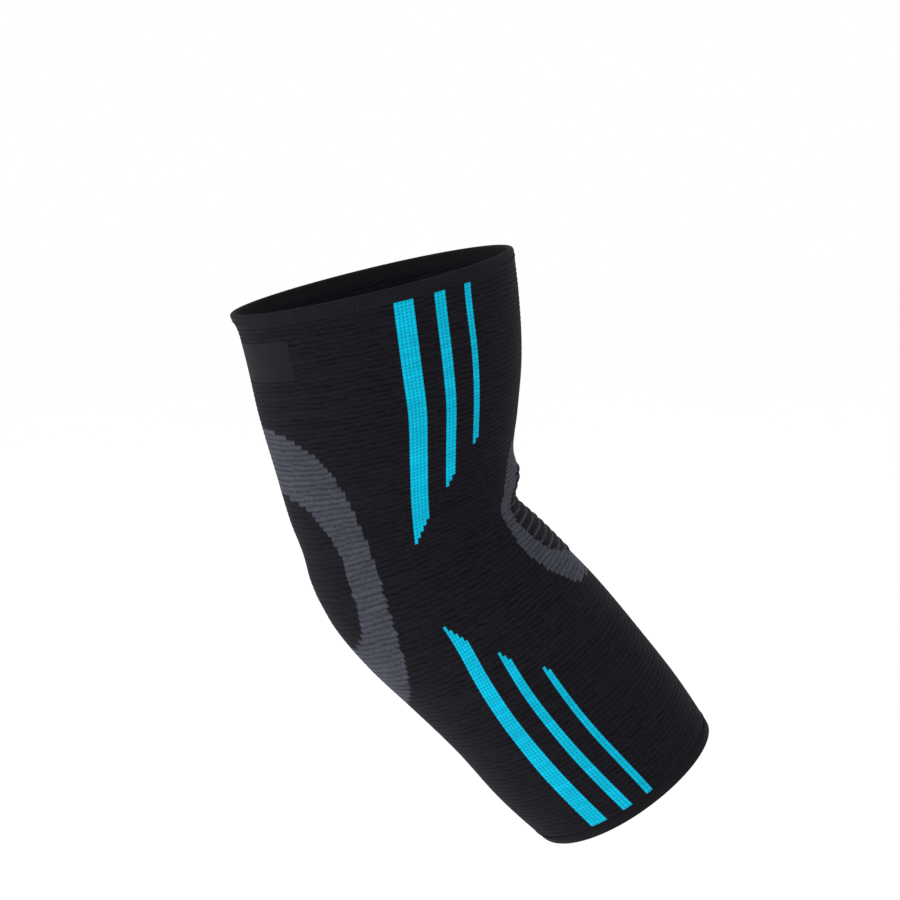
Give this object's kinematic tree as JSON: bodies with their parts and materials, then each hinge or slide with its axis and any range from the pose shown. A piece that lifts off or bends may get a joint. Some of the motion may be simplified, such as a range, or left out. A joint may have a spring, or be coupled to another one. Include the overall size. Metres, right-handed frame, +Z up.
{
  "type": "elbow brace",
  "caption": "Knitted compression sleeve for the elbow, bent as worn, with a grey ring over the elbow, a ladder zone in the crook and tapered cyan stripes.",
  "frame": {"origin": "the middle of the elbow, in the hollow, where the arm inside holds the sleeve", "axes": "+Z up as worn, +X to the front where the crook of the elbow is, +Y to the sleeve's left side; the bend lies in the XZ plane"},
  "size_m": [0.2033, 0.103, 0.2564],
  "materials": {
    "black_knit": "ribbed matt knit",
    "black_welt": "smooth matt knit",
    "grey_knit": "ribbed matt knit",
    "cyan_knit": "dotted matt knit",
    "label_cloth": "smooth matt cloth"
  },
  "bodies": {
    "root": {"sleeve_body": "black_knit", "upper_cuff": "black_welt", "lower_cuff": "black_welt", "elbow_ring": "grey_knit", "crook_panel": "grey_knit", "label": "label_cloth", "stripe_upper_1": "cyan_knit", "stripe_upper_2": "cyan_knit", "stripe_upper_3": "cyan_knit", "stripe_upper_4": "cyan_knit", "stripe_upper_5": "cyan_knit", "stripe_upper_6": "cyan_knit", "stripe_lower_1": "cyan_knit", "stripe_lower_2": "cyan_knit", "stripe_lower_3": "cyan_knit", "stripe_lower_4": "cyan_knit", "stripe_lower_5": "cyan_knit", "stripe_lower_6": "cyan_knit"}
  },
  "joints": []
}
